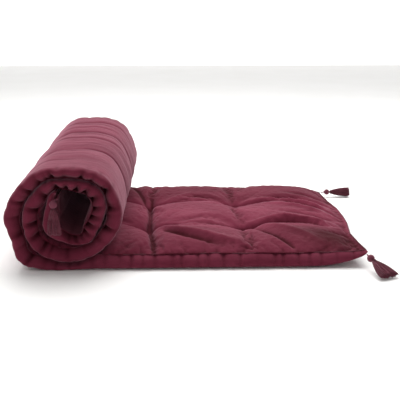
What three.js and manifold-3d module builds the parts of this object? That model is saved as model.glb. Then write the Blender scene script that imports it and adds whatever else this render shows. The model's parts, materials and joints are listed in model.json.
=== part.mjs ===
// Futon mattress, partly rolled up, with a tassel at each corner.
// Millimetres, +Z up. X runs along the mattress, Y across it, and the roll's axis lies along Y.
import * as THREE from "three";
import { mergeVertices } from "three/addons/utils/BufferGeometryUtils.js";
import Module from "manifold-3d";

const wasm = await Module();
wasm.setup();

// Mattress
const WIDTH = 600;
const LOFT = 50;
const TAIL_LENGTH = 653;
const PANEL = 1.5;
const GAP = 0.3;
const LAYER_SHARES = [0.27, 0.46, 0.27];
const TURN_GAP = 0.8;

// Roll: distance of the outer face from the roll's middle, in lofts, every TURN_STEP degrees
const TURN_STEP = 30;
const TURN_RADII = [
  2.24, 2.5, 2.56, 2.42, 2.24, 2.2, 2.12, 2.34, 2.5, 2.44, 2.19, 2.01,
  1.91, 1.86, 1.78, 1.67, 1.65, 1.68, 1.66, 1.83, 1.96, 1.69, 1.52, 1.28,
  1.02, 0.94, 0.92, 0.77, 0.82, 1.05,
];
const INNER_END = [
  { angle: 884, radius: 1.08 },
  { angle: 892, radius: 1.18 },
];
const FAR_RISE = 0.1;
const CORE_SPACE = 0.12;
const EYE_SPACE = 0.9;
const ROLL_X = -243;
const MIDDLE_LINE = 0.32;

// Quilting
const TUFT_COLUMNS = 7;
const TUFT_FROM_END = 259;
const TUFT_PITCH = 223;
const ROW_REACH = 1 / 3;
const TUFT_ROWS = [-ROW_REACH, ROW_REACH];
const COLUMN_DIP = 0.26;
const ROW_DIP = 0.16;
const TUFT_DIP = 0.52;
const UNDER_DIP = 5;
const UNDER_CREASE = 2;

// Edges
const SEAM_HEIGHT = 30;
const SEAM_DROP = 3;
const SEAM_EASE = 60;
const EDGE_RUN = 10;
const EDGE_SHOULDER = 0.35;
const BATTING_INSET = 3.6;
const END_TAPER = 150;
const END_SHARE = 0.64;
const END_RUN = 8;
const END_SKEW = 8;
const NEAR_CORNER_HEIGHT = 1;
const FAR_CORNER_HEIGHT = 0.45;
const INNER_SEAM = 0.42;

// Fold of the tail, beside the second column of tufts
const FOLD_FROM_TUFT = 10;

// Where the tail's stations stand: shares of the flap, and half pitches past the first tufts
const FLAP_SHARES = [0.12, 0.3, 0.55, 0.8, 1];
const PITCH_SHARES = [0, 0.5, 1, 1.5, 2, 2.3];

// Ties
const THREAD_RADIUS = 1.2;
const STITCH_RADIUS = 3.2;
const STITCH_FLARE = 2.6;
const STITCH_HEIGHT = 3.6;
const STITCH_CLEARANCE = 1;
const TIE_SIDES = 6;

// Tassels
const HEAD_RADIUS = 8.5;
const HEAD_TIP_ANGLE = 50;
const HEAD_LATITUDES = [-50, -15, 20, 55, 90];
const CORD_RADIUS = 1.6;
const CORD_TIP = 2;
const CORD_STAND = 1;
const CORD_DROP = 1;
const CORD_LENGTH = 6;
const HEAD_CLEARANCE = 0.5;
const NECK_RADIUS = 4.2;
const BINDING_THICKNESS = 1.3;
const BINDING_LENGTH = 6;
const SKIRT_LENGTH = 50;
const SKIRT_RADIUS = 14.5;
const FAN_WIDTH = 53;
const CORE_FAN_WIDTH = 36;
const FAN_THICKNESS = 12;
const BINDING_INSET = 1;
const SKIRT_FLARE = [
  [0.62, 0.3],
  [0.88, 0.65],
  [1, 1],
];
const TASSEL_SIDES = 10;

const WELD = 1e-4;

const rad = THREE.MathUtils.degToRad;
const rollHeight = TURN_RADII[0] * LOFT;

const velvet = { colour: "#7a3a52", roughness: 0.86 };
const velvetUnder = { colour: "#8d4f68", roughness: 0.88 };
const cotton = { colour: "#efe8da", roughness: 0.95 };
const foam = { colour: "#e6d9b8", roughness: 0.9 };
const thread = { colour: "#5d2438", roughness: 0.8 };
const yarn = { colour: "#84425c", roughness: 0.82 };

const futon = new THREE.Group();
futon.name = "futon_mattress";

const turnPoints = [
  ...TURN_RADII.map((radius, i) => ({ angle: i * TURN_STEP, radius: radius * LOFT })),
  ...INNER_END.map((end) => ({ angle: end.angle, radius: end.radius * LOFT })),
];
const lastAngle = turnPoints[turnPoints.length - 1].angle;

function radiusAt(angle) {
  const low = turnPoints.findLast((p) => p.angle <= angle && p.angle < lastAngle);
  const high = turnPoints[turnPoints.indexOf(low) + 1];
  const share = (angle - low.angle) / (high.angle - low.angle);
  return low.radius * (1 - share) + high.radius * share;
}

function turnStation(angle, radius) {
  const a = rad(angle);
  return {
    x: ROLL_X - radius * Math.sin(a),
    z: rollHeight - radius * Math.cos(a),
    dx: Math.sin(a),
    dz: Math.cos(a),
    rise: 1,
    room: turnRoom(angle, radius),
  };
}

// How thick the mattress can be at this angle before it meets the next turn in.
function turnRoom(angle, radius) {
  const next = angle + 360;
  if (next < lastAngle + TURN_STEP) {
    return radius - radiusAt(Math.min(next, lastAngle)) - TURN_GAP;
  }
  const eye = angle < lastAngle - 180 ? EYE_SPACE : CORE_SPACE;
  return radius - eye * LOFT;
}

function tailStation(fromEnd) {
  const x = ROLL_X + TAIL_LENGTH - fromEnd;
  return { x, z: 0, dx: 0, dz: 1, rise: 0, room: Infinity };
}

// The tail's own stations under the roll stand below those of the turn above them.
function underRollStation(angle) {
  const above = turnStation(angle, radiusAt(angle));
  return { x: above.x, z: 0, dx: 0, dz: 1, rise: 1, room: above.z - TURN_GAP };
}

function makeStations() {
  const list = [];
  const fold = TUFT_FROM_END - FOLD_FROM_TUFT;
  const halfPitch = TUFT_PITCH / 2;
  for (const at of [0, END_RUN, ...FLAP_SHARES.map((share) => share * fold)]) {
    list.push(tailStation(at));
  }
  for (const share of PITCH_SHARES) {
    list.push(tailStation(TUFT_FROM_END + share * halfPitch));
  }
  list.push(underRollStation(360 - 2 * TURN_STEP));
  list.push(underRollStation(360 - TURN_STEP));
  turnPoints.forEach((point) => list.push(turnStation(point.angle, point.radius)));
  let arc = 0;
  list.forEach((s, i) => {
    const n = MIDDLE_LINE * LOFT;
    s.mx = s.x + s.dx * n;
    s.mz = s.z + s.dz * n;
    if (i > 0) {
      arc += Math.hypot(s.mx - list[i - 1].mx, s.mz - list[i - 1].mz);
    }
    s.arc = arc;
  });
  return list;
}

const stations = makeStations();
const lastStation = stations.length - 1;
const fullLength = stations[lastStation].arc;
const foldStation = 1 + FLAP_SHARES.length;

function nearestStation(arc) {
  let best = 1;
  stations.forEach((s, i) => {
    if (Math.abs(s.arc - arc) < Math.abs(stations[best].arc - arc)) {
      best = i;
    }
  });
  return best;
}

const tuftStations = [];
for (let i = 0; i < TUFT_COLUMNS; i += 1) {
  tuftStations.push(nearestStation(TUFT_FROM_END + i * TUFT_PITCH));
}

function columnWeight(i) {
  const reach = TUFT_PITCH / 2;
  const away = Math.min(...tuftStations.map((t) => Math.abs(stations[t].arc - stations[i].arc)));
  return away < reach ? Math.cos((Math.PI * away) / (2 * reach)) ** 2 : 0;
}

function rowWeight(v) {
  const away = Math.min(...TUFT_ROWS.map((row) => Math.abs(row - v)));
  return away < ROW_REACH ? Math.cos((Math.PI * away) / (2 * ROW_REACH)) ** 2 : 0;
}

function endShare(i) {
  const away = Math.min(stations[i].arc, fullLength - stations[i].arc);
  const share = Math.min(1, away / END_TAPER);
  return END_SHARE + (1 - END_SHARE) * Math.sin((Math.PI / 2) * share);
}

function thickness(i, v) {
  const a = columnWeight(i);
  const b = rowWeight(v);
  const dip = COLUMN_DIP * a * (1 - b) + ROW_DIP * b * (1 - a) + TUFT_DIP * a * b;
  return Math.min(LOFT * (1 - dip) * endShare(i), stations[i].room);
}

// The seam's height along the sides eases into that of the two ends.
function seamHeight(i, v) {
  const across = (v + 1) / 2;
  const tailEnd = SEAM_HEIGHT * (NEAR_CORNER_HEIGHT * (1 - across) + FAR_CORNER_HEIGHT * across);
  const innerEnd = INNER_SEAM * thickness(lastStation, 0);
  const side = Math.min(SEAM_HEIGHT, thickness(i, 1) - SEAM_DROP);
  const arc = stations[i].arc;
  const share = Math.min(1, arc / SEAM_EASE, (fullLength - arc) / SEAM_EASE);
  return (arc < fullLength / 2 ? tailEnd : innerEnd) * (1 - share) + side * share;
}

function atEdge(i, v) {
  return Math.abs(v) === 1 || i === 0 || i === lastStation;
}

const shoulder = 1 - (2 * EDGE_RUN) / WIDTH;
const battingEdge = shoulder - (2 * BATTING_INSET) / WIDTH;

function topHeight(i, v) {
  const seam = seamHeight(i, v);
  if (atEdge(i, v)) {
    return seam + GAP / 2;
  }
  const full = thickness(i, v);
  return Math.abs(v) > battingEdge ? seam + GAP + EDGE_SHOULDER * (full - seam) : full;
}

function underHeight(i, v) {
  if (atEdge(i, v)) {
    return seamHeight(i, v) - GAP / 2;
  }
  const tuft = UNDER_DIP * columnWeight(i) * rowWeight(v);
  const crease = stations[i].z > 0 ? UNDER_CREASE * rowWeight(v) : 0;
  return Math.max(tuft, crease);
}

// A point at height n over the outer face.
function raised(i, n) {
  const s = stations[i];
  return new THREE.Vector2(s.x + s.dx * n, s.z + s.dz * n);
}

// The same in the round, moved by inset away from the mattress's edges and ends.
function spot(i, v, n, inset) {
  const y = v * (WIDTH / 2 - inset);
  const place = raised(i, n);
  if (inset > 0 && (i < 2 || i > lastStation - 2)) {
    const next = i < 2 ? i + 1 : i - 1;
    const climb = Math.abs(v) === 1 ? seamHeight(next, v) - seamHeight(i, v) : 0;
    const inwards = raised(next, n + climb).sub(place).normalize();
    place.addScaledVector(inwards, inset);
  }
  const rise = 1 + FAR_RISE * stations[i].rise * (y / WIDTH + 0.5);
  const skew = END_SKEW * v * Math.max(0, 1 - stations[i].arc / stations[foldStation].arc);
  return new THREE.Vector3(place.x + skew, y, place.y * rise);
}

// Joins an upper and a lower grid of points into one closed body.
function closedGrid(upper, lower) {
  const rows = upper.length;
  const columns = upper[0].length;
  const points = [...upper.flat(), ...lower.flat()];
  const under = rows * columns;
  const faces = [];
  const quad = (a, b, c, d) => faces.push(a, b, c, a, c, d);
  for (let i = 0; i < rows - 1; i += 1) {
    for (let j = 0; j < columns - 1; j += 1) {
      const a = i * columns + j;
      quad(a, a + 1, a + columns + 1, a + columns);
      quad(under + a, under + a + columns, under + a + columns + 1, under + a + 1);
    }
  }
  const rim = [];
  for (let j = 0; j < columns; j += 1) {
    rim.push(j);
  }
  for (let i = 1; i < rows; i += 1) {
    rim.push(i * columns + columns - 1);
  }
  for (let j = columns - 2; j >= 0; j -= 1) {
    rim.push((rows - 1) * columns + j);
  }
  for (let i = rows - 2; i > 0; i -= 1) {
    rim.push(i * columns);
  }
  rim.forEach((a, k) => {
    const b = rim[(k + 1) % rim.length];
    quad(b, a, under + a, under + b);
  });
  const geometry = new THREE.BufferGeometry();
  geometry.setAttribute(
    "position",
    new THREE.Float32BufferAttribute(points.flatMap((p) => [p.x, p.y, p.z]), 3),
  );
  geometry.setIndex(faces);
  return geometry;
}

function toManifold(geometry) {
  const bare = geometry.clone();
  bare.deleteAttribute("normal");
  bare.deleteAttribute("uv");
  const merged = mergeVertices(bare, WELD);
  return new wasm.Manifold(
    new wasm.Mesh({
      numProp: 3,
      vertProperties: new Float32Array(merged.attributes.position.array),
      triVerts: new Uint32Array(merged.index.array),
    }),
  );
}

function toGeometry(solid) {
  const mesh = solid.getMesh();
  const geometry = new THREE.BufferGeometry();
  geometry.setAttribute("position", new THREE.Float32BufferAttribute(mesh.vertProperties, 3));
  geometry.setIndex(Array.from(mesh.triVerts));
  return geometry;
}

function addPart(name, geometry, finish, parent = futon) {
  const material = new THREE.MeshStandardMaterial({
    color: finish.colour,
    roughness: finish.roughness,
    metalness: 0,
  });
  material.name = name;
  geometry.computeVertexNormals();
  const mesh = new THREE.Mesh(geometry, material);
  mesh.name = name;
  parent.add(mesh);
  return mesh;
}

const middleColumns = [-2 * ROW_REACH, TUFT_ROWS[0], 0, TUFT_ROWS[1], 2 * ROW_REACH];
const edgeColumns = [-1, -shoulder, ...middleColumns, shoulder, 1];
const battingColumns = [-battingEdge, ...middleColumns, battingEdge];

// Keeps a grid clear of the cut where the tail folds.
function cutShift(point, i, side) {
  if (i === foldStation) {
    point.x += (side * GAP) / 2;
  }
  return point;
}

function grid(first, last, columns, height, inset, side) {
  const rows = [];
  for (let i = first; i <= last; i += 1) {
    rows.push(columns.map((v) => cutShift(spot(i, v, height(i, v), inset), i, side)));
  }
  return rows;
}

function tieCentre(i, v) {
  return { low: spot(i, v, underHeight(i, v), 0), high: spot(i, v, topHeight(i, v), 0) };
}

const ties = [];
tuftStations.forEach((i, column) => {
  TUFT_ROWS.forEach((v, row) => {
    ties.push({ i, name: `tuft_tie_${column + 1}${"ab"[row]}`, ...tieCentre(i, v) });
  });
});

// The thread's bore through the layers, opening out as the stitch does at each face.
function tieHole(tie) {
  const along = tie.high.clone().sub(tie.low);
  const half = along.length() / 2 + STITCH_CLEARANCE;
  const reach = half + 2 * STITCH_HEIGHT;
  const wide = STITCH_RADIUS + GAP;
  const bore = THREAD_RADIUS + GAP;
  const outline = [
    [0, -reach],
    [wide, -reach],
    [wide, -half - STITCH_FLARE],
    [bore, -half],
    [bore, half],
    [wide, half + STITCH_FLARE],
    [wide, reach],
    [0, reach],
  ];
  const hole = lathe(outline, TIE_SIDES);
  hole.applyQuaternion(aim(along));
  const middle = tie.low.clone().add(tie.high).multiplyScalar(0.5);
  return hole.translate(middle.x, middle.y, middle.z);
}

function aim(along) {
  const up = new THREE.Vector3(0, 1, 0);
  return new THREE.Quaternion().setFromUnitVectors(up, along.clone().normalize());
}

function pierced(geometry, first, last) {
  let solid = toManifold(geometry);
  for (const tie of ties.filter((t) => t.i >= first && t.i <= last)) {
    solid = solid.subtract(toManifold(tieHole(tie)));
  }
  return toGeometry(solid);
}

function bands(i, v) {
  const low = underHeight(i, v) + PANEL + GAP;
  const high = topHeight(i, v) - PANEL - GAP;
  const body = high - low - 2 * GAP;
  const first = low + LAYER_SHARES[2] * body;
  const second = first + GAP + LAYER_SHARES[1] * body;
  return { low, first, second, high };
}

function battingColumn(v) {
  return Math.abs(v) === battingEdge ? Math.sign(v) * shoulder : v;
}

function addLayers(first, last, side, suffix) {
  const inside = side > 0 ? { first: 1, last } : { first, last: last - 1 };
  const panel = (outer, inner) =>
    pierced(
      closedGrid(
        grid(first, last, edgeColumns, outer[0], outer[1], side),
        grid(first, last, edgeColumns, inner[0], inner[1], side),
      ),
      first,
      last,
    );
  const innerTop = (i, v) => topHeight(i, v) - (atEdge(i, v) ? 0 : PANEL);
  const innerUnder = (i, v) => underHeight(i, v) + (atEdge(i, v) ? 0 : PANEL);
  addPart(`top_panel${suffix}`, panel([topHeight, 0], [innerTop, PANEL]), velvet);
  addPart(`bottom_panel${suffix}`, panel([innerUnder, PANEL], [underHeight, 0]), velvetUnder);
  const batting = (name, finish, upper, lower) => {
    const at = (pick) => (i, v) => pick(bands(i, battingColumn(v)));
    const inset = PANEL + 2 * GAP;
    const body = closedGrid(
      grid(inside.first, inside.last, battingColumns, at(upper), inset, side),
      grid(inside.first, inside.last, battingColumns, at(lower), inset, side),
    );
    addPart(`${name}${suffix}`, pierced(body, first, last), finish);
  };
  batting("upper_batting", cotton, (b) => b.high, (b) => b.second + GAP);
  batting("core_batting", foam, (b) => b.second, (b) => b.first + GAP);
  batting("lower_batting", cotton, (b) => b.first, (b) => b.low);
}

// A stitched tie: a knot of thread sunk in the dimple of each face and the thread between them.
function addTie(tie) {
  const along = tie.high.clone().sub(tie.low);
  const half = along.length() / 2 + STITCH_CLEARANCE;
  const outline = [
    [0, -half - STITCH_HEIGHT],
    [STITCH_RADIUS, -half - STITCH_FLARE],
    [THREAD_RADIUS, -half],
    [THREAD_RADIUS, half],
    [STITCH_RADIUS, half + STITCH_FLARE],
    [0, half + STITCH_HEIGHT],
  ];
  const mesh = addPart(tie.name, lathe(outline, TIE_SIDES), thread);
  mesh.quaternion.copy(aim(along));
  mesh.position.copy(tie.low).add(tie.high).multiplyScalar(0.5);
}

function lathe(outline, sides) {
  return new THREE.LatheGeometry(outline.map(([x, y]) => new THREE.Vector2(x, y)), sides);
}

// A ball drawn up to a point where the cord meets it.
const headMiddle = HEAD_RADIUS / Math.sin(rad(HEAD_TIP_ANGLE));
const headOutline = [
  [0, 0],
  ...HEAD_LATITUDES.map((latitude) => [
    latitude < 90 ? HEAD_RADIUS * Math.cos(rad(latitude)) : 0,
    headMiddle + HEAD_RADIUS * Math.sin(rad(latitude)),
  ]),
];

// A group whose own +Y points along, with its own X level where that is possible.
function aimedGroup(name, at, along) {
  const level = new THREE.Vector3(along.y, -along.x, 0);
  const across = level.length() > 0 ? level.normalize() : new THREE.Vector3(1, 0, 0);
  const up = new THREE.Vector3().crossVectors(across, along);
  const group = new THREE.Group();
  group.name = name;
  group.position.copy(at);
  group.quaternion.setFromRotationMatrix(new THREE.Matrix4().makeBasis(across, along, up));
  futon.add(group);
  return group;
}

// A tassel: cord, head, neck binding and skirt, from the corner outwards.
function addTassel(name, tassel) {
  const cordGroup = aimedGroup(`${name}_tie`, tassel.at, tassel.cordAlong);
  const cord = [
    [0, GAP],
    [CORD_RADIUS, GAP],
    [CORD_RADIUS, tassel.cordLength - CORD_TIP],
    [0, tassel.cordLength],
  ];
  addPart(`${name}_cord`, lathe(cord, TIE_SIDES), yarn, cordGroup);
  const start = tassel.at.clone().addScaledVector(tassel.cordAlong, tassel.cordLength + GAP);
  start.addScaledVector(tassel.along, tassel.drop ?? 0);
  const body = aimedGroup(`${name}_body`, start, tassel.along);
  addPart(`${name}_head`, lathe(headOutline, TASSEL_SIDES), yarn, body);
  const neckAt = headMiddle + HEAD_RADIUS + GAP;
  const collar = NECK_RADIUS + GAP;
  const bindingAt = neckAt + BINDING_INSET;
  const bindingEnd = bindingAt + BINDING_LENGTH;
  const binding = [
    [collar, bindingAt],
    [collar + BINDING_THICKNESS, bindingAt],
    [collar + BINDING_THICKNESS, bindingEnd],
    [collar, bindingEnd],
    [collar, bindingAt],
  ];
  addPart(`${name}_binding`, lathe(binding, TASSEL_SIDES), thread, body);
  const flareAt = bindingEnd + BINDING_INSET;
  const skirt = [
    [0, neckAt],
    [NECK_RADIUS, neckAt],
    [NECK_RADIUS, flareAt],
    ...SKIRT_FLARE.map(([radius, along]) => [
      radius * SKIRT_RADIUS,
      flareAt + along * SKIRT_LENGTH,
    ]),
    [0, flareAt + SKIRT_LENGTH],
  ];
  const shape = lathe(skirt, TASSEL_SIDES);
  if (tassel.fanWidth) {
    flatten(shape, flareAt, tassel.fanWidth);
  }
  addPart(`${name}_skirt`, shape, yarn, body);
}

// Spreads a skirt below its neck into a flat fan.
function flatten(geometry, from, width) {
  const place = geometry.attributes.position;
  const wide = width / 2 / SKIRT_RADIUS;
  const thin = FAN_THICKNESS / 2 / SKIRT_RADIUS;
  for (let k = 0; k < place.count; k += 1) {
    const share = Math.max(0, Math.min(1, (place.getY(k) - from) / SKIRT_LENGTH));
    place.setX(k, place.getX(k) * (1 + (wide - 1) * share));
    place.setZ(k, place.getZ(k) * (1 + (thin - 1) * share));
  }
}

addLayers(foldStation, lastStation, -1, "");
addLayers(0, foldStation, 1, "_flap");
ties.forEach(addTie);

function corner(i, v) {
  return spot(i, v, seamHeight(i, v), 0);
}

// The tail's tassels lie on the floor; those of the inner end hang beside the roll.
addTassel("tassel_tail_near", {
  at: corner(0, -1).add(new THREE.Vector3(0, -CORD_STAND, -CORD_DROP)),
  cordAlong: new THREE.Vector3(-0.05, -1, 0).normalize(),
  cordLength: CORD_LENGTH,
  along: new THREE.Vector3(0.4, -0.87, -0.29).normalize(),
  fanWidth: FAN_WIDTH,
});
addTassel("tassel_tail_far", {
  at: corner(0, 1).add(new THREE.Vector3(CORD_STAND, -CORD_RADIUS, 0)),
  cordAlong: new THREE.Vector3(1, 0, 0.2).normalize(),
  cordLength: CORD_LENGTH,
  along: new THREE.Vector3(1, 0, 0),
});
for (const side of [-1, 1]) {
  const cordAlong = new THREE.Vector3(-0.75, 0.65 * side, 0.1).normalize();
  addTassel(side < 0 ? "tassel_core_near" : "tassel_core_far", {
    at: corner(lastStation, side).add(new THREE.Vector3(0, side * CORD_STAND, 0)),
    cordAlong,
    cordLength: (HEAD_RADIUS + HEAD_CLEARANCE - CORD_STAND) / Math.abs(cordAlong.y) - GAP,
    along: new THREE.Vector3(0, 0, -1),
    drop: 2 * GAP,
    fanWidth: CORE_FAN_WIDTH,
  });
}

// The origin is at the middle of the whole object's footprint.
const extent = new THREE.Box3().setFromObject(futon, true);
futon.position.x = -(extent.min.x + extent.max.x) / 2;
futon.position.y = -(extent.min.y + extent.max.y) / 2;

export default futon;
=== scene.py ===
"""Looks of the partly rolled futon mattress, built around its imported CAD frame. Metres, row frame."""

import json
import math

import bpy
import numpy as np
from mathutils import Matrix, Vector


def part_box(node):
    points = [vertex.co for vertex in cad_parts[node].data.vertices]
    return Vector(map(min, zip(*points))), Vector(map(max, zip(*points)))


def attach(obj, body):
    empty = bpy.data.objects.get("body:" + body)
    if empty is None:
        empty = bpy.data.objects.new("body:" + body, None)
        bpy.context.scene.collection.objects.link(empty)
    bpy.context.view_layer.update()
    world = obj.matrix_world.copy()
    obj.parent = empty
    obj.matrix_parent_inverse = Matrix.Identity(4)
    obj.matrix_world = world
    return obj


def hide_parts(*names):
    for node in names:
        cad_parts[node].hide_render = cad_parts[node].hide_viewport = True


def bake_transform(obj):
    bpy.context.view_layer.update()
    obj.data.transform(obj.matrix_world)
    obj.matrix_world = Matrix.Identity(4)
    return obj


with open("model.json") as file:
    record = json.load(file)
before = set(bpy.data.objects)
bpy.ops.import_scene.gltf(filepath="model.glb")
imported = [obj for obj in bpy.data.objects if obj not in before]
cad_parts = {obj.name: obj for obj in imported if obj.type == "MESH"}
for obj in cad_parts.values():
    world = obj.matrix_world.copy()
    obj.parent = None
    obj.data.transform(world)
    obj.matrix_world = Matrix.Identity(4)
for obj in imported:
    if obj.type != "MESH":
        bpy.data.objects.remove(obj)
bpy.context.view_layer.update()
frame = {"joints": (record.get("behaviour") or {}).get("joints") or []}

# ---------------------------------------------------------------- sizes, in metres

WIDTH = 0.600
TAIL = 0.653  # open tail, from its end to the point under the roll's axis
MIDDLE = 0.016  # height of the line whose length is kept when the mattress rolls up
CROWN = 0.050
SEAM = 0.030
TUFT_FROM_END = 0.259
TUFT_PITCH = 0.223
ROW_REACH = 0.1
TUFT_ROWS = (-ROW_REACH, ROW_REACH)
TUFT_COLUMNS = 7
FOLD_FROM_END = 0.249
AXIS_HEIGHT = 0.112
FAR_RISE = 0.1

CELL_ALONG = 0.0032  # grid of the covers
CELL_ACROSS = 0.0045
SIM_CELL = 0.006  # grid of the cloth simulation

fold_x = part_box("bottom_panel_flap")[0].x
near_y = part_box("bottom_panel")[0].y
END_X = fold_x + FOLD_FROM_END
AXIS_X = END_X - TAIL
MID_Y = near_y + WIDTH / 2

# Outer radius of the roll in mm, every 22.5 degrees from under its axis
RADII = (
    112, 119, 134, 119, 121, 114, 110, 110, 106, 113.5, 124, 123, 122, 112, 104, 99,
    95.5, 93.5, 92, 87, 83.5, 83.5, 81, 85, 83, 88, 99, 97, 84.5, 76, 74, 61,
    51, 47.5, 47, 45, 38.5, 39, 44.5, 57, 67,
)
TURN_STEP = 22.5
LAST_ANGLE = 892.0
# Thickness in mm of the turns that face the roll's eye, from 528 degrees on
EYE_LOFT = ((528, 20), (540, 22), (562, 29), (585, 38), (607, 43), (630, 43), (652, 36), (675, 26),
            (697, 25), (720, 28), (765, 33), (810, 33), (855, 36), (877, 34), (892, 28))
TURN_GAP = 0.0010
FLOOR_GAP = 0.0003
INNER_SEAM = 0.006

# Upper face: dips of the crown along a column of ties, along a row and where both meet
COLUMN_DIP, ROW_DIP, CROSS_DIP = 0.13, 0.09, 0.18
DIMPLE_DEPTH, DIMPLE_REACH = 0.018, 0.022
SHOULDER = 0.09  # from a long edge to the full crown
END_TAPER = 0.15  # from an end to the full crown
END_CROWN = 0.020
NEAR_CORNER, FAR_CORNER = 0.034, 0.0135  # heights of the open end's seam
SEAM_ROOM = 0.003
SEAM_RUN = 0.020  # over which the upper face comes down to the seam
CROWN_BLUR = 0.024
WRINKLE_SHARE = 0.6
SLIDE_SHARE = 0.8
ROW_CREASE_DEPTH, ROW_CREASE_WIDTH, ROW_CREASE_RUN = 0.0120, 0.0065, 0.12
TIE_PULL, TIE_REACH = 0.006, 0.012
SIDE_PUCKER, END_PUCKER = 0.0030, 0.0022
LEAST_HEIGHT, LEAST_EASE = 0.0115, 0.003
TURN_CLEARANCE = 0.0008

# Lower face
UNDER_DIMPLE, UNDER_REACH = 0.005, 0.016
ROW_HOLLOW, ROW_HOLLOW_REACH = 0.002, 0.03
CELL_SWELL = 0.0018
EDGE_PUCKER = 0.0022
LEAST_UNDER = -0.006

# Cloth simulation of the quilt
SIM_PRESSURE = 6
SIM_SLACK = -0.08
SIM_FRAMES = 24
PIN_RADIUS = 0.0085
JITTER = 0.0006
JITTER_CLEAR = 0.02  # no jitter this close to a tie
WRINKLE_SIZE = 0.032  # wider shapes are left to the crown


# ---------------------------------------------------------------- camera, light and floor

CAMERA_PITCH, CAMERA_YAW = 14.86, 1.75
CAMERA_RIGHT = 0.243  # of the roll's axis
CAMERA_BACK = 1.448  # from the mattress's near edge
CAMERA_HEIGHT = 0.5365
STAGE_SIZE = 16
WALL_Y = 5.5


def make_camera():
    pitch, yaw = math.radians(CAMERA_PITCH), math.radians(CAMERA_YAW)
    data = bpy.data.cameras.new("camera")
    data.lens = 64.8
    data.sensor_width = 36.0
    camera = bpy.data.objects.new("camera", data)
    bpy.context.scene.collection.objects.link(camera)
    camera.location = (AXIS_X + CAMERA_RIGHT, near_y - CAMERA_BACK, CAMERA_HEIGHT)
    camera.rotation_euler = (math.pi / 2 - pitch, 0, -yaw)
    bpy.context.scene.camera = camera


def area_light(name, place, target, size, power, colour=(1, 1, 1)):
    data = bpy.data.lights.new(name, "AREA")
    data.shape = "RECTANGLE"
    data.size, data.size_y = size
    data.energy = power
    data.color = colour
    light = bpy.data.objects.new(name, data)
    bpy.context.scene.collection.objects.link(light)
    light.location = place
    light.rotation_euler = (Vector(target) - Vector(place)).to_track_quat("-Z", "Y").to_euler()


def make_stage():
    """A white studio: soft light from above, a little from the left and the front."""
    scene = bpy.context.scene
    scene.view_settings.view_transform = "Standard"
    world = bpy.data.worlds.new("studio")
    world.use_nodes = True
    world.node_tree.nodes["Background"].inputs["Color"].default_value = (1, 0.995, 0.985, 1)
    world.node_tree.nodes["Background"].inputs["Strength"].default_value = 0.30
    scene.world = world
    area_light("top", (0.05, 0.9, 2.3), (0, 0.15, 0), (3.0, 2.0), 84)
    area_light("left", (-1.9, -0.3, 1.5), (-0.1, 0, 0.1), (1.4, 1.4), 10)
    area_light("front", (-0.5, -2.2, 0.6), (-0.3, 0, 0.1), (1.2, 1.0), 5)
    bpy.ops.mesh.primitive_plane_add(size=STAGE_SIZE, location=(0, 2, -0.0004))
    floor = bpy.context.object
    floor.name = "floor"
    floor.data.materials.append(floor_material())
    bpy.ops.mesh.primitive_plane_add(size=STAGE_SIZE, location=(0, WALL_Y, 3), rotation=(math.pi / 2, 0, 0))
    wall = bpy.context.object
    wall.name = "backdrop"
    wall.data.materials.append(wall_material())


# ---------------------------------------------------------------- node helpers

def new_material(name):
    material = bpy.data.materials.new(name)
    material.use_nodes = True
    tree = material.node_tree
    return material, tree, tree.nodes["Principled BSDF"]


def node(tree, kind, inputs=(), **settings):
    made = tree.nodes.new(kind)
    for key, value in settings.items():
        setattr(made, key, value)
    for key, value in dict(inputs).items():
        if isinstance(value, bpy.types.NodeSocket):
            tree.links.new(value, made.inputs[key])
        else:
            made.inputs[key].default_value = value
    return made


def noise(tree, vector, scale, detail=3.0, roughness=0.55, distortion=0.0):
    made = node(tree, "ShaderNodeTexNoise", {
        "Vector": vector, "Scale": scale, "Detail": detail, "Roughness": roughness,
        "Distortion": distortion,
    })
    return made.outputs["Fac"]


def ramp(tree, value, stops):
    made = node(tree, "ShaderNodeValToRGB", {"Fac": value})
    band = made.color_ramp
    while len(band.elements) < len(stops):
        band.elements.new(0.5)
    for element, (at, colour) in zip(band.elements, stops):
        element.position = at
        element.color = (*colour, 1)
    return made.outputs["Color"]


def remap(tree, value, low, high):
    made = node(tree, "ShaderNodeMapRange", {"Value": value, "To Min": low, "To Max": high})
    return made.outputs["Result"]


def stretched(tree, scale, source="UV"):
    place = tree.nodes.new("ShaderNodeTexCoord").outputs[source]
    return node(tree, "ShaderNodeMapping", {"Vector": place, "Scale": scale}).outputs["Vector"]


def mix(tree, factor, a, b, blend="MIX"):
    made = node(tree, "ShaderNodeMix", data_type="RGBA", blend_type=blend)
    for socket, value in ((made.inputs[0], factor), (made.inputs[6], a), (made.inputs[7], b)):
        if isinstance(value, bpy.types.NodeSocket):
            tree.links.new(value, socket)
        else:
            socket.default_value = value
    return made.outputs[2]


def bump(tree, height, strength, distance, below=None):
    inputs = {"Height": height, "Strength": strength, "Distance": distance}
    if below is not None:
        inputs["Normal"] = below
    return node(tree, "ShaderNodeBump", inputs).outputs["Normal"]


def floor_material():
    material, tree, shader = new_material("floor")
    place = stretched(tree, (1, 1, 1), "Object")
    stops = [(0.3, (0.90, 0.895, 0.88)), (0.7, (0.93, 0.925, 0.915))]
    tone = ramp(tree, noise(tree, place, 3.0), stops)
    tree.links.new(tone, shader.inputs["Base Color"])
    shader.inputs["Roughness"].default_value = 0.6
    return material


def wall_material():
    material, _, shader = new_material("backdrop")
    shader.inputs["Base Color"].default_value = (0.9, 0.9, 0.9, 1)
    shader.inputs["Emission Color"].default_value = (1, 1, 1, 1)
    shader.inputs["Emission Strength"].default_value = 1.0
    return material


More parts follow.
